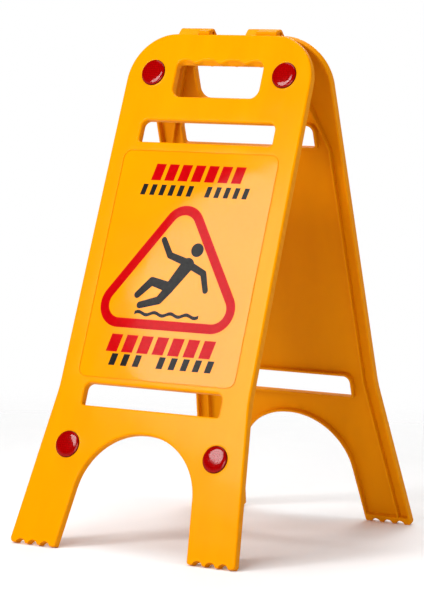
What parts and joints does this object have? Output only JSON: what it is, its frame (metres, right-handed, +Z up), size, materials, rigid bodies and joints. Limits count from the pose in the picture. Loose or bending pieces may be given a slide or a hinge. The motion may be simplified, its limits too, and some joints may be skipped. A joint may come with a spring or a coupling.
{
  "type": "wet floor sign",
  "caption": "Folding A-frame floor sign: two identical plastic panels with hand hole, slots, toothed feet, label field and round reflectors, hinged along the top.",
  "frame": {"origin": "on the floor, midway between the two panels' feet, straight under the hinge axis", "axes": "+X along the hinge axis, to the right of a person facing the front panel; +Y from the front panel to the rear panel; +Z up"},
  "size_m": [0.3002, 0.4278, 0.5944],
  "materials": {
    "panel_plastic": "amber injection-moulded polypropylene, semi-gloss with faint flow marks and fine scuffs",
    "label_film": null,
    "reflector_lens": "clear dark red acrylic with prisms behind a polished dome",
    "reflector_backing": "dark red moulded cup",
    "hinge_pin": "amber nylon rod"
  },
  "bodies": {
    "front": {"front_panel": "panel_plastic", "front_label": "label_film", "front_reflector_back_upper_left": "reflector_backing", "front_reflector_lens_upper_left": "reflector_lens", "front_reflector_back_upper_right": "reflector_backing", "front_reflector_lens_upper_right": "reflector_lens", "front_reflector_back_lower_left": "reflector_backing", "front_reflector_lens_lower_left": "reflector_lens", "front_reflector_back_lower_right": "reflector_backing", "front_reflector_lens_lower_right": "reflector_lens", "hinge_pin_left": "hinge_pin"},
    "rear": {"rear_panel": "panel_plastic", "rear_label": "label_film", "rear_reflector_back_upper_left": "reflector_backing", "rear_reflector_lens_upper_left": "reflector_lens", "rear_reflector_back_upper_right": "reflector_backing", "rear_reflector_lens_upper_right": "reflector_lens", "rear_reflector_back_lower_left": "reflector_backing", "rear_reflector_lens_lower_left": "reflector_lens", "rear_reflector_back_lower_right": "reflector_backing", "rear_reflector_lens_lower_right": "reflector_lens", "hinge_pin_right": "hinge_pin"}
  },
  "joints": [
    {"name": "fold", "type": "hinge", "parent": "front", "child": "rear", "pos_m": [0, 0, 0.58842], "axis": [1, 0, 0], "range_deg": [-38.3, 0]}
  ]
}
